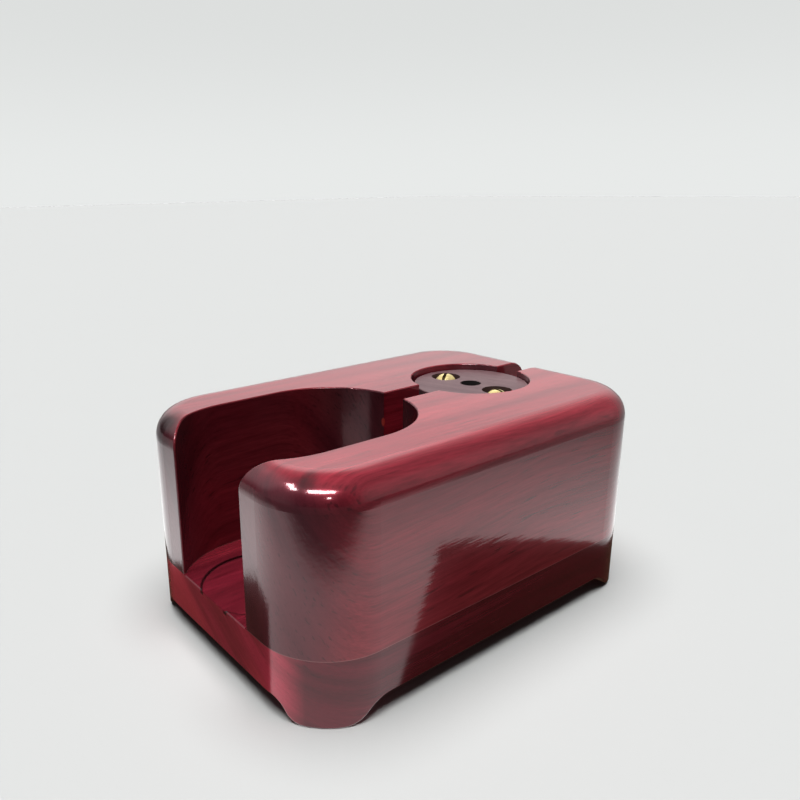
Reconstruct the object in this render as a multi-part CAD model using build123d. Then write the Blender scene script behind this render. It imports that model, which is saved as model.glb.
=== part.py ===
"""Wooden pen stand: a block with an ink-bottle bay, a footed base and a screwed-down pen disc.

Frame: millimetres, X across the stand, Y along it with the open front of the bottle bay at -Y, Z up.
The feet stand on Z = 0 and the footprint is centred on the Z axis.
"""
from build123d import *
import math
import os

# Stand as a whole
WIDTH = 90.0
LENGTH = 131.0
CORNER_R = 20.5
BASE_H = 18.5
BLOCK_H = 45.0
TOP_Z = BASE_H + BLOCK_H
TOP_ROUND = 7.8
FRONT_Y = -LENGTH / 2
BACK_Y = LENGTH / 2
EASE = 0.4
OVERSHOOT = 1.0

# Ink-bottle bay: two overlapping round bores joined into one oval well, which breaks out at the front
BAY_R = 25.8
BAY_BACK_Y = -27.0
BAY_FRONT_Y = -45.8
MOUTH_HALF = math.sqrt(BAY_R**2 - (BAY_FRONT_Y - FRONT_Y) ** 2)

# Groove from the bay to the back end, running under the pen disc
GROOVE_W = 8.7
GROOVE_DEPTH = 20.0

# Pen disc and the round seat it drops into
SEAT_R = 19.05
SEAT_Y = 31.8
DISC_R = 18.4
DISC_Y = 32.3
DISC_T = 6.35
DISC_DROP = 2.0
DISC_TOP_Z = TOP_Z - DISC_DROP
SEAT_Z = DISC_TOP_Z - DISC_T
DISC_EASE = 0.2
PEN_HOLE_R = 3.15

# Round-head wood screws, on the disc's centre line
SCREW_X = 11.3
HEAD_R = 3.7
HEAD_H = 2.8
SHANK_R = 2.05
SHANK_L = 17.0
TIP_L = 4.0
SHANK_GAP = 0.05
POCKET_R = 4.75
DRIVE_SLOT_W = 1.0
DRIVE_SLOT_DEPTH = 1.9
# place across the disc, depth of the pocket for the head, direction of the driving slot in degrees
SCREWS = ((-SCREW_X, 1.8, -62.0), (SCREW_X, 2.6, 8.0))

# Base: a shallow round for the bottle, and arches that leave a foot at each corner
BOTTLE_ROUND_R = 16.8
BOTTLE_ROUND_Y = -50.0
BOTTLE_ROUND_DEPTH = 0.5
ARCH_H = 5.6
FOOT_X = 36.3
ARCH_X = 27.0
FOOT_Y = 54.6
ARCH_Y = 42.0


def upright(x, y, z, radius, height):
    """Vertical cylinder standing on a point."""
    return Location((x, y, z)) * extrude(Circle(radius), height)


def outline():
    """Plan shape shared by the base and the block."""
    return RectangleRounded(WIDTH, LENGTH, CORNER_R)


def ogee(flat, top, height):
    """Two equal arcs, tangent to the ground at flat and to the underside of the arch at top."""
    run = flat - top
    radius = (run**2 + height**2) / (4 * height)
    dip = radius - math.sqrt(radius**2 - (run / 4) ** 2)
    mid = (flat - run / 2, height / 2)
    lower = (flat - run / 4, dip)
    upper = (top + run / 4, height - dip)
    return [ThreePointArc((flat, 0), lower, mid), ThreePointArc(mid, upper, (top, height))]


def arch_face(flat, top):
    """The opening between two feet, seen square on."""
    right = ogee(flat, top, ARCH_H)
    left = [arc.mirror(Plane.YZ) for arc in right]
    across = Line((top, ARCH_H), (-top, ARCH_H))
    below = Polyline((flat, 0), (flat, -OVERSHOOT), (-flat, -OVERSHOOT), (-flat, 0))
    return make_face([*right, across, *left, *below.edges()])


def on_side(point):
    """Whether a point lies on the stand's upright sides."""
    x_out = abs(point.X) - (WIDTH / 2 - CORNER_R)
    y_out = abs(point.Y) - (LENGTH / 2 - CORNER_R)
    reach = math.hypot(x_out, y_out) if min(x_out, y_out) > 0 else max(x_out, y_out)
    return abs(reach - CORNER_R) < 0.01


def base():
    """Footed base, arched on all four sides, with the shallow round in its top."""
    block = extrude(outline(), BASE_H)
    block -= extrude(Plane.XZ * arch_face(FOOT_X, ARCH_X), LENGTH, both=True)
    block -= extrude(Plane.YZ * arch_face(FOOT_Y, ARCH_Y), WIDTH, both=True)
    low = block.edges().filter_by(lambda edge: edge.bounding_box().max.Z < ARCH_H + 0.01)
    block = fillet(low.filter_by(lambda edge: all(on_side(edge @ t) for t in (0, 0.5, 1))), EASE)
    round_z = BASE_H - BOTTLE_ROUND_DEPTH
    block -= upright(0, BOTTLE_ROUND_Y, round_z, BOTTLE_ROUND_R, OVERSHOOT)
    corner = Rot(45, 0, 0) * Box(2 * MOUTH_HALF, EASE, EASE)
    return block - Pos(0, FRONT_Y, BASE_H) * corner


def bay():
    """Cutter for the bottle bay, full height of the block."""
    mid_y = (BAY_BACK_Y + BAY_FRONT_Y) / 2
    plan = Pos(0, BAY_BACK_Y) * Circle(BAY_R) + Pos(0, BAY_FRONT_Y) * Circle(BAY_R)
    plan += Pos(0, mid_y) * Rectangle(2 * BAY_R, BAY_BACK_Y - BAY_FRONT_Y)
    return Pos(0, 0, BASE_H - OVERSHOOT) * extrude(plan, BLOCK_H + 2 * OVERSHOOT)


def groove():
    """Cutter for the groove, from inside the bay out through the back end."""
    length = BACK_Y + OVERSHOOT - BAY_BACK_Y
    plan = Pos(0, BAY_BACK_Y + length / 2) * Rectangle(GROOVE_W, length)
    return Pos(0, 0, TOP_Z - GROOVE_DEPTH) * extrude(plan, GROOVE_DEPTH + OVERSHOOT)


def body():
    """Block with the bottle bay, the groove, the seat for the pen disc and the screws' pilot holes."""
    block = Pos(0, 0, BASE_H) * extrude(outline(), BLOCK_H)
    block = fillet(block.faces().sort_by(Axis.Z)[-1].edges(), TOP_ROUND)
    cutter = bay() + groove() + upright(0, SEAT_Y, SEAT_Z, SEAT_R, TOP_Z - SEAT_Z + OVERSHOOT)
    hollowed = block - cutter
    rims = new_edges(block, cutter, combined=hollowed)
    hollowed = fillet(rims.filter_by(lambda edge: (edge @ 0.5).Z > BASE_H + EASE), EASE)
    for x, _, _ in SCREWS:
        hollowed -= upright(x, DISC_Y, SEAT_Z - SHANK_L, SHANK_R + SHANK_GAP, SHANK_L + OVERSHOOT)
    return hollowed


def pen_disc():
    """Turned disc with the pen hole and two pockets for the screw heads."""
    disc = upright(0, DISC_Y, SEAT_Z, DISC_R, DISC_T)
    disc = chamfer(disc.edges().filter_by(GeomType.CIRCLE), DISC_EASE)
    below = SEAT_Z - OVERSHOOT
    through = DISC_T + 2 * OVERSHOOT
    disc -= upright(0, DISC_Y, below, PEN_HOLE_R, through)
    for x, depth, _ in SCREWS:
        disc -= upright(x, DISC_Y, DISC_TOP_Z - depth, POCKET_R, depth + OVERSHOOT)
        disc -= upright(x, DISC_Y, below, SHANK_R + SHANK_GAP, through)
    return disc


def screw(x, depth, turn):
    """Slotted round-head wood screw with its head seated in the pocket; the thread is left plain."""
    dome_r = (HEAD_R**2 + HEAD_H**2) / (2 * HEAD_H)
    shoulder_r = HEAD_R * 0.6
    shoulder_z = HEAD_H - dome_r + math.sqrt(dome_r**2 - shoulder_r**2)
    crown = ThreePointArc((HEAD_R, 0), (shoulder_r, shoulder_z), (0, HEAD_H))
    shank_end = -SHANK_L + TIP_L
    rest = Polyline((0, HEAD_H), (0, -SHANK_L), (SHANK_R, shank_end), (SHANK_R, 0), (HEAD_R, 0))
    solid = revolve(Plane.XZ * make_face([crown, *rest.edges()]), Axis.Z)
    slot = Box(3 * HEAD_R, DRIVE_SLOT_W, 2 * DRIVE_SLOT_DEPTH)
    solid -= Rot(0, 0, turn) * Pos(0, 0, HEAD_H) * slot
    return Pos(x, DISC_Y, DISC_TOP_Z - depth) * solid


def disc_screws():
    """The two screws that hold the disc, as separate solids."""
    return Compound(children=[screw(*place) for place in SCREWS])


os.makedirs("parts", exist_ok=True)
export_step(base(), "parts/base.step")
export_step(body(), "parts/body.step")
export_step(pen_disc(), "parts/pen_disc.step")
export_step(disc_screws(), "parts/disc_screws.step")
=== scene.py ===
"""Looks for the pen stand: lacquered purpleheart, a satin disc and polished brass screws."""
import math

import bpy
from mathutils import Matrix, Quaternion, Vector


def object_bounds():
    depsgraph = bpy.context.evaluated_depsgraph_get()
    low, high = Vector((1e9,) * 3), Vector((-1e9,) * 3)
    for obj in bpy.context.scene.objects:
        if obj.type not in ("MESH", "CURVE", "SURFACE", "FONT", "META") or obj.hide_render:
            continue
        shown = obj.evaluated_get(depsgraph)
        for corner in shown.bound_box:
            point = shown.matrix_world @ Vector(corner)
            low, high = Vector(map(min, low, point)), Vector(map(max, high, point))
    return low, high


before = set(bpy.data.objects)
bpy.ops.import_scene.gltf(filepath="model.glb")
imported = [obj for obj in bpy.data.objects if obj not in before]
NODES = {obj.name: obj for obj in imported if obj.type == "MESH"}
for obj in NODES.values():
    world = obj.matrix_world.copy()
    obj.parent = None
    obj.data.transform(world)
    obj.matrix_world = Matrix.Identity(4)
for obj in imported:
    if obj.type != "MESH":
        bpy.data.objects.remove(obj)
CAD_LOW, CAD_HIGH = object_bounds()
MM = 0.001

# ---------------------------------------------------------------- node helpers


class Tree:
    """A material or world node tree, with short calls to add and join nodes."""

    def __init__(self, owner):
        owner.use_nodes = True
        self.nodes = owner.node_tree.nodes
        self.links = owner.node_tree.links
        self.nodes.clear()

    def add(self, kind, inputs=None, **settings):
        """A node with its settings, whose inputs are values or the sockets of other nodes."""
        node = self.nodes.new(kind)
        for key, value in settings.items():
            setattr(node, key, value)
        for key, value in (inputs or {}).items():
            if isinstance(value, bpy.types.NodeSocket):
                self.links.new(value, node.inputs[key])
            else:
                node.inputs[key].default_value = value
        return node

    def math(self, operation, a, b=0.0):
        return self.add("ShaderNodeMath", {0: a, 1: b}, operation=operation).outputs[0]

    def between(self, value, low, high, smooth=False):
        """0 at low and 1 at high, held outside."""
        node = self.add("ShaderNodeMapRange", {"Value": value, "From Min": low, "From Max": high})
        node.interpolation_type = "SMOOTHSTEP" if smooth else "LINEAR"
        return node.outputs["Result"]

    def vector(self, operation, a, b=None):
        """A vector sum, difference, distance or dot product."""
        node = self.add("ShaderNodeVectorMath", {0: a} if b is None else {0: a, 1: b}, operation=operation)
        return node.outputs["Value" if operation in ("DOT_PRODUCT", "DISTANCE", "LENGTH") else "Vector"]

    def scale(self, value, factor, plus=0.0):
        """The value times a factor, plus a constant."""
        return self.add("ShaderNodeMath", {0: value, 1: factor, 2: plus}, operation="MULTIPLY_ADD").outputs[0]

    def part(self, vector, axis):
        """One component of a vector."""
        return self.add("ShaderNodeSeparateXYZ", {"Vector": vector}).outputs[axis]

    def normal(self, axis):
        """One component of the surface's normal."""
        return self.part(self.add("ShaderNodeNewGeometry").outputs["Normal"], axis)

    def from_upright(self, place, x, y):
        """Distance from a vertical line."""
        return self.vector("DISTANCE", self.vector("MULTIPLY", place, (1.0, 1.0, 0.0)), (x, y, 0.0))

    def mix(self, factor, a, b, blend="MIX"):
        """Two colours mixed, or another blend of them."""
        node = self.add("ShaderNodeMix", data_type="RGBA", blend_type=blend)
        for key, value in ((0, factor), (6, a), (7, b)):
            if isinstance(value, bpy.types.NodeSocket):
                self.links.new(value, node.inputs[key])
            else:
                node.inputs[key].default_value = value
        return node.outputs[2]

    def noise(self, vector, detail=2.0, roughness=0.5):
        node = self.add(
            "ShaderNodeTexNoise",
            {"Vector": vector, "Scale": 1.0, "Detail": detail, "Roughness": roughness},
        )
        return node.outputs["Fac"]

    def stretched(self, vector, x, y, z):
        """The vector scaled along each axis, so that features are 1/x, 1/y and 1/z metres long."""
        return self.add("ShaderNodeMapping", {"Vector": vector, "Scale": (x, y, z)}).outputs["Vector"]


def rgb(red, green, blue):
    """An opaque colour, in linear light."""
    return (red, green, blue, 1.0)


def make_material(name):
    """A new material and its empty node tree."""
    material = bpy.data.materials.new(name)
    return material, Tree(material)


# ---------------------------------------------------------------- materials

# Features of the grain, in repeats per metre across the growth layers, along the grain and up the layers
SWAY_GRAIN = (7, 9, 7)
BAND_GRAIN = (250, 4.5, 26)
BROAD_GRAIN = (75, 4, 16)
STREAK_GRAIN = (1500, 26, 150)
FIBRE_GRAIN = (4200, 120, 1300)
DASH_GRAIN = (2000, 90, 500)
GATHER_GRAIN = (60, 25, 40)
RIPPLE_GRAIN = (500, 60, 500)
SWAY = 5 * MM
RELIEF = 0.1 * MM
PALE_FIBRE = rgb(1.26, 1.34, 1.30)
DARK_FIBRE = rgb(0.75, 0.70, 0.73)
DARK_PORE = rgb(0.035, 0.006, 0.009)


def wood(name, deep, mid, bright, end, end_turn, tilt, turn, offset, marks):
    """Straight-grained hardwood under lacquer.

    The grain runs along Y, turned about Z by turn degrees, and the growth layers lean from upright by
    tilt degrees. The three tones run from deep to bright. End grain is tinted by end, from nothing to
    fully over the range end_turn of the normal's share along Y. marks adds what belongs to one piece:
    it takes the tree, the place and the tone, and returns the tone and the shader's further inputs.
    """
    material, tree = make_material(name)
    at = tree.add("ShaderNodeTexCoord").outputs["Object"]
    angles = (0.0, math.radians(tilt), math.radians(turn))
    place = tree.add("ShaderNodeMapping", {"Vector": at, "Rotation": angles, "Location": offset}).outputs[0]
    sway = tree.noise(tree.stretched(place, *SWAY_GRAIN), 1.0)
    sway = tree.scale(tree.math("SUBTRACT", sway, 0.5), SWAY)
    shift = tree.add("ShaderNodeCombineXYZ", {"X": sway, "Z": sway}).outputs[0]
    grain = tree.vector("ADD", place, shift)

    bands = tree.noise(tree.stretched(grain, *BAND_GRAIN), 2.0, 0.5)
    broad = tree.noise(tree.stretched(grain, *BROAD_GRAIN), 1.0, 0.5)
    streaks = tree.noise(tree.stretched(grain, *STREAK_GRAIN), 3.0, 0.6)
    fibres = tree.noise(tree.stretched(grain, *FIBRE_GRAIN), 2.0, 0.55)
    dashes = tree.noise(tree.stretched(grain, *DASH_GRAIN), 1.0, 0.5)
    gather = tree.noise(tree.stretched(place, *GATHER_GRAIN), 1.0)
    ripple = tree.noise(tree.stretched(grain, *RIPPLE_GRAIN), 1.0)

    # tones in bands, then fine streaks, which fade towards the ends, and short dark pores
    tone = tree.mix(tree.between(bands, 0.34, 0.62, smooth=True), deep, mid)
    tone = tree.mix(tree.scale(tree.between(broad, 0.42, 0.66, smooth=True), 0.8), tone, bright)
    fine = tree.math("ADD", tree.scale(streaks, 0.55), tree.scale(fibres, 0.45))
    shade = tree.mix(tree.between(fine, 0.36, 0.64), DARK_FIBRE, PALE_FIBRE)
    end_share = tree.math("ABSOLUTE", tree.normal("Y"))
    contrast = tree.scale(tree.between(end_share, 0.1, 0.7), -0.65, 1.0)
    tone = tree.mix(contrast, tone, shade, "MULTIPLY")
    dash = tree.math("MULTIPLY", tree.between(dashes, 0.62, 0.72), tree.between(gather, 0.42, 0.62))
    tone = tree.mix(tree.scale(dash, 0.50), tone, DARK_PORE)
    end_tone = tree.mix(1.0, tone, end, "MULTIPLY")
    tone = tree.mix(tree.between(end_share, *end_turn, smooth=True), tone, end_tone)

    tone, extra = marks(tree, at, tone)

    relief = tree.math("ADD", tree.scale(fibres, 0.3), tree.scale(streaks, 0.7))
    relief = tree.math("ADD", relief, ripple)
    bump = tree.add("ShaderNodeBump", {"Strength": 0.28, "Distance": RELIEF, "Height": relief})
    inputs = {
        "Base Color": tone,
        "Metallic": 0.30,
        "Roughness": 0.22,
        "Specular IOR Level": 0.15,
        "Coat Weight": 1.0,
        "Coat Roughness": 0.04,
        "Coat IOR": 1.5,
        "Coat Normal": bump.outputs[0],
    }
    inputs.update(extra)
    shader = tree.add("ShaderNodeBsdfPrincipled", inputs)
    tree.add("ShaderNodeOutputMaterial", {"Surface": shader.outputs[0]})
    return material


# Pen disc, with the place across the stand and the driving slot's direction in degrees of each screw
DISC_Y = 32.3 * MM
HOLE_R = 3.15 * MM
POCKET_R = 4.75 * MM
SCREW_SLOTS = ((-11.3 * MM, -62.0), (11.3 * MM, 8.0))
HEAD_REACH = 4.2 * MM
SLOT_HALF = 0.51 * MM
SLOT_DARK = rgb(0.10, 0.055, 0.015)
# painted shade inside the pen hole and the screws' pockets
HOLE_SHADE = rgb(0.010, 0.004, 0.005)
POCKET_SHADE = rgb(0.025, 0.004, 0.006)


def brass():
    """Polished brass with slight tarnish, and darker driving slots."""
    material, tree = make_material("polished_brass")
    place = tree.add("ShaderNodeTexCoord").outputs["Object"]
    tarnish = tree.noise(tree.stretched(place, 500, 500, 500), 3.0)
    colour = tree.mix(tree.between(tarnish, 0.35, 0.8), rgb(1.0, 0.84, 0.40), rgb(0.92, 0.68, 0.26))
    for x, turn in SCREW_SLOTS:
        from_head = tree.vector("SUBTRACT", place, (x, DISC_Y, 0.0))
        across = (-math.sin(math.radians(turn)), math.cos(math.radians(turn)), 0.0)
        beside = tree.math("ABSOLUTE", tree.vector("DOT_PRODUCT", from_head, across))
        in_head = tree.between(tree.from_upright(place, x, DISC_Y), HEAD_REACH, HEAD_REACH - 0.2 * MM)
        in_slot = tree.math("MULTIPLY", tree.between(beside, SLOT_HALF + 0.03 * MM, SLOT_HALF), in_head)
        colour = tree.mix(tree.scale(in_slot, 0.85), colour, SLOT_DARK)
    scratch = tree.noise(tree.stretched(place, 9000, 900, 900), 2.0)
    bump = tree.add("ShaderNodeBump", {"Strength": 0.05, "Distance": 0.02 * MM, "Height": scratch})
    shader = tree.add(
        "ShaderNodeBsdfPrincipled",
        {"Base Color": colour, "Metallic": 0.6, "Roughness": 0.25, "Normal": bump.outputs[0]},
    )
    tree.add("ShaderNodeOutputMaterial", {"Surface": shader.outputs[0]})
    return material


# Dark patches on the front top corners: partly darker end grain, partly a painted reflection of a dark thing
# above the near corner
END_GRAIN_AND_REFLECTION_PATCHES = (
    # place, reach in metres, how dark
    ((-0.0265, -0.0630, 0.0605), 9 * MM, 0.92),
    ((0.0345, -0.0585, 0.0625), 5 * MM, 0.92),
    ((0.0215, -0.0615, 0.0620), 5 * MM, 0.6),
)
PATCH_DARK = rgb(0.035, 0.016, 0.018)
PATCH_RAGGED = 5 * MM
# A small bright red spot at the groove's mouth: painted light, standing in for light falling into the groove
LIT_SPOT = (-0.0045, -0.0017, 0.0540)
LIT_SPOT_TALL = 2.0
LIT_SPOT_R = 0.8 * MM
LIT_SPOT_RED = rgb(0.75, 0.06, 0.05)
GLUE_TOP = 18.75 * MM
# thin pale line painted as a highlight on the edge along the glue line
SEAM_HIGHLIGHT = rgb(0.50, 0.20, 0.20)
BAY_R = 25.8 * MM
BAY_BACK_Y = -27.0 * MM
BAY_FRONT_Y = -45.8 * MM
# painted shade: the bay's wood is darkened, as shade falls in it
BAY_SHADE = rgb(0.68, 0.90, 0.80)
BAY_COAT = 0.25


def body_marks(tree, at, tone):
    """Dark patches on the front corners, partly darker end grain and partly painted reflection; a small
    bright red spot of painted light at the groove's mouth;
    a painted highlight along the glue line; the bay darkened with painted shade and given a thinner finish;
    and the top painted lighter and the sides darker, as light from above falls."""
    # dark patches on the front corners: partly end grain, partly painted reflection
    for centre, reach, depth in END_GRAIN_AND_REFLECTION_PATCHES:
        blot = tree.noise(tree.stretched(at, 300, 300, 300), 2.0)
        away = tree.math("ADD", tree.vector("DISTANCE", at, centre), tree.scale(blot, PATCH_RAGGED))
        mark = tree.between(away, reach + 2.0 * MM, reach * 0.35, smooth=True)
        tone = tree.mix(tree.scale(mark, depth), tone, PATCH_DARK)

    # painted light: the small bright red spot at the groove's mouth
    squat = tree.stretched(at, 1.0, 1.0, 1 / LIT_SPOT_TALL)
    lit_spot = tree.vector("DISTANCE", squat, (LIT_SPOT[0], LIT_SPOT[1], LIT_SPOT[2] / LIT_SPOT_TALL))
    tone = tree.mix(tree.between(lit_spot, LIT_SPOT_R, LIT_SPOT_R - 0.3 * MM), tone, LIT_SPOT_RED)
    # painted highlight: a thin pale line at the bottom of the body, along the glue line
    line = tree.between(tree.part(at, "Z"), GLUE_TOP, GLUE_TOP - 0.13 * MM)
    tone = tree.mix(tree.scale(line, 0.5), tone, SEAM_HIGHLIGHT)

    # painted shade: the wood inside the bay is darkened, as shade falls there; its coat is also thinner
    y = tree.part(at, "Y")
    nearest = tree.math("MAXIMUM", tree.math("MINIMUM", y, BAY_BACK_Y), BAY_FRONT_Y)
    axis = tree.add("ShaderNodeCombineXYZ", {"Y": nearest}).outputs[0]
    from_axis = tree.vector("DISTANCE", tree.vector("MULTIPLY", at, (1.0, 1.0, 0.0)), axis)
    outside = tree.between(from_axis, BAY_R + 0.1 * MM, BAY_R + 0.5 * MM)
    tone = tree.mix(outside, tree.mix(1.0, tone, BAY_SHADE, "MULTIPLY"), tone)

    # painted light: the flat top is painted lighter and the sides and fillets darker, as light from above
    # falls
    lit_top = tree.between(tree.normal("Z"), 0.75, 0.99)
    tone = tree.mix(1.0, tone, tree.mix(lit_top, rgb(0.88, 0.92, 0.92), rgb(1.18, 1.20, 1.20)), "MULTIPLY")
    return tone, {"Coat Weight": tree.scale(outside, 1.0 - BAY_COAT, BAY_COAT)}


BOTTLE_ROUND_R = 16.8 * MM
BOTTLE_ROUND_Y = -50.0 * MM
CUT_HALF = 0.20 * MM
# painted shade along the wall of the bottle's round
RING_SHADE = rgb(0.015, 0.004, 0.005)


def base_marks(tree, at, tone):
    """Painted shade: a dark line round the wall of the shallow round for the bottle."""
    from_centre = tree.from_upright(at, 0.0, BOTTLE_ROUND_Y)
    off_line = tree.math("ABSOLUTE", tree.math("SUBTRACT", from_centre, BOTTLE_ROUND_R))
    on_top = tree.between(tree.part(at, "Z"), 17.0 * MM, 17.5 * MM)
    shaded_ring = tree.math("MULTIPLY", tree.between(off_line, CUT_HALF + 0.25 * MM, CUT_HALF), on_top)
    return tree.mix(tree.scale(shaded_ring, 0.85), tone, RING_SHADE), {}


def disc_marks(tree, at, tone):
    """Satin, without lacquer; dull inside the pen hole and the screws' pockets, and darkened there with
    painted shade.
    """
    hollow = tree.between(tree.from_upright(at, 0.0, DISC_Y), HOLE_R + 0.35 * MM, HOLE_R + 0.05 * MM)
    tone = tree.mix(hollow, tone, HOLE_SHADE)
    for x, _ in SCREW_SLOTS:
        away = tree.from_upright(at, x, DISC_Y)
        pocket = tree.between(away, POCKET_R + 0.10 * MM, POCKET_R - 0.05 * MM)
        tone = tree.mix(pocket, tone, POCKET_SHADE)
        hollow = tree.math("MAXIMUM", hollow, pocket)
    rough = tree.scale(hollow, 0.6, 0.38)
    return tone, {"Roughness": rough, "Coat Weight": 0.0, "Metallic": 0.0, "Specular IOR Level": 0.4}


def dress(name, material):
    """Gives every slot of a CAD node one material."""
    mesh = NODES[name].data
    mesh.materials.clear()
    mesh.materials.append(material)


dress("body", wood(
    "body_purpleheart",
    deep=rgb(0.215, 0.013, 0.025), mid=rgb(0.295, 0.018, 0.033), bright=rgb(0.395, 0.034, 0.050),
    end=rgb(0.50, 1.1, 1.0), end_turn=(0.25, 0.85),
    tilt=24, turn=0, offset=(0.0, 0.0, 0.0), marks=body_marks,
))
dress("base", wood(
    "base_purpleheart",
    deep=rgb(0.120, 0.009, 0.017), mid=rgb(0.180, 0.012, 0.025), bright=rgb(0.270, 0.020, 0.034),
    # the base's end faces are painted four times lighter: painted light on its front face, over its own
    # end-grain tint
    end=rgb(4.0, 4.6, 4.2), end_turn=(0.78, 1.0),
    tilt=62, turn=0, offset=(0.31, 0.22, 0.13), marks=base_marks,
))
dress("pen_disc", wood(
    "disc_purpleheart",
    deep=rgb(0.095, 0.045, 0.052), mid=rgb(0.125, 0.066, 0.072), bright=rgb(0.160, 0.090, 0.096),
    end=rgb(1.0, 1.0, 1.0), end_turn=(0.25, 0.85),
    tilt=20, turn=70, offset=(0.6, 0.1, 0.4), marks=disc_marks,
))
dress("disc_screws", brass())

# ---------------------------------------------------------------- stage and light

HORIZON = rgb(0.806, 0.823, 0.815)
ABOVE = rgb(0.723, 0.738, 0.730)
FLOOR_HALF = 6.0
FLOOR_SEEN = rgb(0.464, 0.471, 0.467)

# What lacquer sees of the floor: a sheet that fades outwards and ends ahead of the stand, with a dark
# half-round board on it, whose straight edge faces FRONT
FRONT = (0.795, -0.607, 0.0)
SHEET_AT = (0.0, -0.03, 0.0)
SHEET_REACH = 0.31
SHEET_CORE = 0.08
SHEET_BRIGHT = 1.02
SHEET_DIM = 0.12
BEYOND_SHEET = 0.14
PAPER_END = 0.162
PAPER_FADE = 0.042
POOL_AT = (-0.050, -0.115, 0.0)
POOL_BRIGHT = 0.15
SHADOW_AT = (0.0245, -0.0450, 0.0)
SHADOW_LEAVES = 0.68
BOARD_AT = (0.0065, -0.0053, 0.0)
BOARD_RADIUS = 0.098
BOARD_CHORD = 0.052
BOARD_EDGE = 1 * MM
BOARD_DARK = rgb(0.02, 0.010, 0.006)
BOARD_PALE = rgb(0.09, 0.050, 0.032)
LENT_AS_LIGHT = 0.38


def floor():
    """Plain pale floor. Only what it lends to the stand's lacquer and undersides differs: there it is
    a bright sheet with a dark board on it, a little darker by the stand's near corner."""
    mesh = bpy.data.meshes.new("floor")
    h, z = FLOOR_HALF, CAD_LOW.z
    mesh.from_pydata([(-h, -h, z), (h, -h, z), (h, h, z), (-h, h, z)], [], [(0, 1, 2, 3)])
    piece = bpy.data.objects.new("floor", mesh)
    bpy.context.collection.objects.link(piece)
    material, tree = make_material("floor_paper")
    place = tree.add("ShaderNodeTexCoord").outputs["Object"]
    seen = tree.add("ShaderNodeBsdfDiffuse", {"Color": FLOOR_SEEN}).outputs[0]

    sheet = tree.between(tree.vector("DISTANCE", place, SHEET_AT), SHEET_REACH, SHEET_CORE, smooth=True)
    sheet = tree.scale(sheet, SHEET_BRIGHT, SHEET_DIM)
    pool = tree.between(tree.vector("DISTANCE", place, POOL_AT), 0.08, 0.02, smooth=True)
    sheet = tree.math("ADD", sheet, tree.scale(pool, POOL_BRIGHT))
    shadow = tree.between(tree.vector("DISTANCE", place, SHADOW_AT), 0.045, 0.100, smooth=True)
    sheet = tree.math("MULTIPLY", sheet, tree.scale(shadow, 1.0 - SHADOW_LEAVES, SHADOW_LEAVES))
    ahead = tree.vector("DOT_PRODUCT", place, FRONT)
    on_paper = tree.between(ahead, PAPER_END, PAPER_END - PAPER_FADE, smooth=True)
    sheet = tree.math("ADD", tree.math("MULTIPLY", sheet, on_paper), BEYOND_SHEET)

    from_board = tree.vector("SUBTRACT", place, BOARD_AT)
    out = tree.vector("LENGTH", from_board)
    round_part = tree.between(out, BOARD_RADIUS + BOARD_EDGE, BOARD_RADIUS)
    along = tree.vector("DOT_PRODUCT", from_board, FRONT)
    straight_part = tree.between(along, BOARD_CHORD + BOARD_EDGE, BOARD_CHORD)
    on_board = tree.math("MULTIPLY", round_part, straight_part)
    lines = tree.noise(tree.stretched(place, 500, 500, 500), 2.0)
    lent = tree.mix(on_board, sheet, tree.mix(lines, BOARD_DARK, BOARD_PALE))

    path = tree.add("ShaderNodeLightPath")
    strength = tree.scale(path.outputs["Is Diffuse Ray"], LENT_AS_LIGHT - 1.0, 1.0)
    lent = tree.add("ShaderNodeEmission", {"Color": lent, "Strength": strength}).outputs[0]
    by_camera = path.outputs["Is Camera Ray"]
    surface = tree.add("ShaderNodeMixShader", {0: by_camera, 1: lent, 2: seen}).outputs[0]
    tree.add("ShaderNodeOutputMaterial", {"Surface": surface})
    material.cycles.emission_sampling = "NONE"
    mesh.materials.append(material)


floor()


def lamp(name, kind, place, aim, energy, **settings):
    """A light at place that faces aim."""
    data = bpy.data.lights.new(name, kind)
    data.energy = energy
    for key, value in settings.items():
        setattr(data, key, value)
    piece = bpy.data.objects.new(name, data)
    bpy.context.collection.objects.link(piece)
    piece.location = place
    piece.rotation_mode = "QUATERNION"
    piece.rotation_quaternion = (Vector(place) - Vector(aim)).to_track_quat("Z", "Y")
    piece.visible_camera = False
    return piece


NEAR_CORNER = Vector((0.036, -0.059, 0.060))
CEILING = 0.8


def heading_of(azimuth, elevation):
    """Unit vector at an azimuth in degrees from -Y towards +X, and an elevation in degrees."""
    a, e = math.radians(azimuth), math.radians(elevation)
    return Vector((math.sin(a) * math.cos(e), -math.cos(a) * math.cos(e), math.sin(e)))


def ceiling_light(name, azimuth, elevation, width, height, radiance, roll=0.0):
    """Strip that only shows as a glint in polished surfaces. Angles are seen from the near top corner,
    and roll turns the strip about the line to it."""
    at = NEAR_CORNER + CEILING * heading_of(azimuth, elevation)
    energy = radiance * math.pi * width * height
    strip = lamp(name, "AREA", at, NEAR_CORNER, energy, shape="RECTANGLE", size=width, size_y=height)
    strip.rotation_quaternion @= Quaternion((0.0, 0.0, 1.0), math.radians(roll))
    strip.visible_diffuse = False


softbox = lamp("softbox", "SUN", (0.04, -0.05, 1.0), (0, 0, 0), 5.2, angle=math.radians(46))
softbox.visible_glossy = False
ceiling_light("strip_left", -14, 51, 0.30, 0.09, 25, roll=-32)
ceiling_light("strip_right", 46, 52, 0.46, 0.15, 25)
ceiling_light("small_lamp", 58, 31, 0.08, 0.05, 30)

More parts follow.
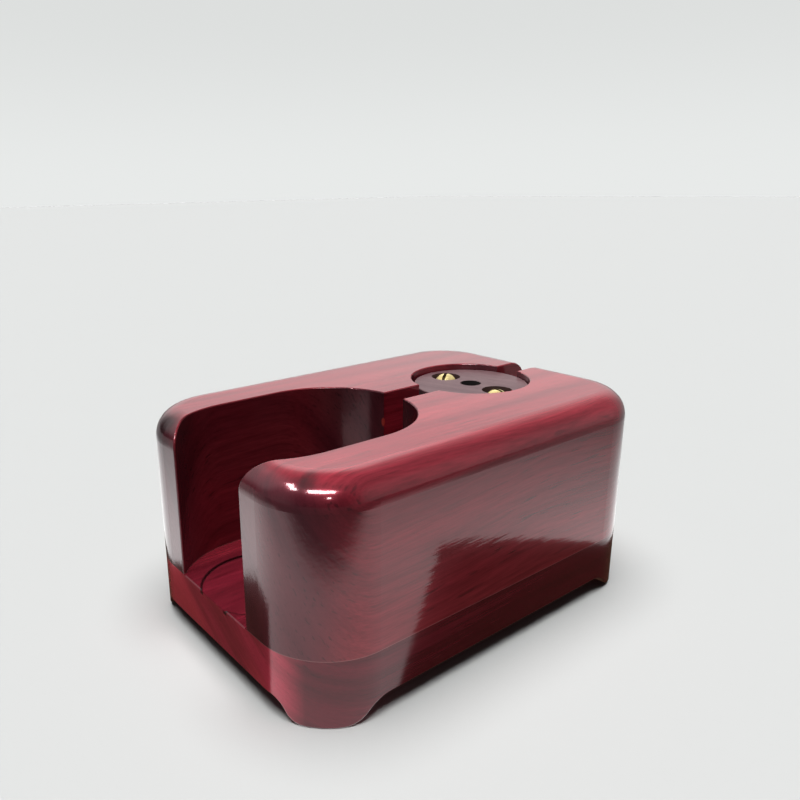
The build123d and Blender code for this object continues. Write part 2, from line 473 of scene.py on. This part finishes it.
ROOM_DIM = 0.25
FAINT = rgb(0.04, 0.04, 0.04)
ROOM = (
    # direction, outer and inner half-angle in degrees, brightness added
    ((-0.78, 0.56, 0.40), 52, 12, 0.41),
    ((-0.64, 0.48, 0.60), 19, 5, 0.65),
    ((0.76, 0.60, 0.27), 32, 8, 0.22),
    ((-0.68, -0.46, 0.57), 32, 8, 0.55),
    ((0.72, -0.62, 0.33), 55, 25, -0.20),
    ((-0.93, -0.34, 0.15), 32, 12, -0.24),
)


def sky():
    """Pale for the camera and faint as a light; polished surfaces mirror a dim room with a bright
    backdrop behind the stand."""
    world = bpy.data.worlds.new("studio")
    bpy.context.scene.world = world
    tree = Tree(world)
    heading = tree.add("ShaderNodeTexCoord").outputs["Generated"]
    total = ROOM_DIM
    for direction, outer, inner, amount in ROOM:
        along = tree.vector("DOT_PRODUCT", heading, Vector(direction).normalized())
        near = tree.between(along, math.cos(math.radians(outer)), math.cos(math.radians(inner)), smooth=True)
        total = tree.math("ADD", total, tree.scale(near, amount))
    path = tree.add("ShaderNodeLightPath")
    height = tree.part(heading, "Z")
    backdrop = tree.mix(tree.between(height, 0.0, 0.22, smooth=True), HORIZON, ABOVE)
    colour = tree.mix(path.outputs["Is Camera Ray"], FAINT, backdrop)
    colour = tree.mix(path.outputs["Is Glossy Ray"], colour, total)
    background = tree.add("ShaderNodeBackground", {"Color": colour, "Strength": 1.0})
    tree.add("ShaderNodeOutputWorld", {"Surface": background.outputs[0]})


sky()

# ---------------------------------------------------------------- camera

CAMERA_AT = Vector((0.15846, -0.14270, 0.12424))
AZIMUTH, ELEVATION, ROLL = 52.649, 16.309, -0.804
LENS = 32.92
SENSOR = 36.0
SHIFT_X = 0.075


def camera():
    """The photograph's viewing angle."""
    data = bpy.data.cameras.new("camera")
    data.sensor_width = SENSOR
    data.lens = LENS
    data.shift_x = SHIFT_X
    data.clip_start = 0.01
    piece = bpy.data.objects.new("camera", data)
    bpy.context.collection.objects.link(piece)
    turn = (-heading_of(AZIMUTH, ELEVATION)).to_track_quat("-Z", "Y").to_matrix().to_4x4()
    spin = Matrix.Rotation(math.radians(ROLL), 4, "Z")
    piece.matrix_world = Matrix.Translation(CAMERA_AT) @ turn @ spin
    bpy.context.scene.camera = piece


camera()
bpy.context.scene.view_settings.view_transform = "Standard"
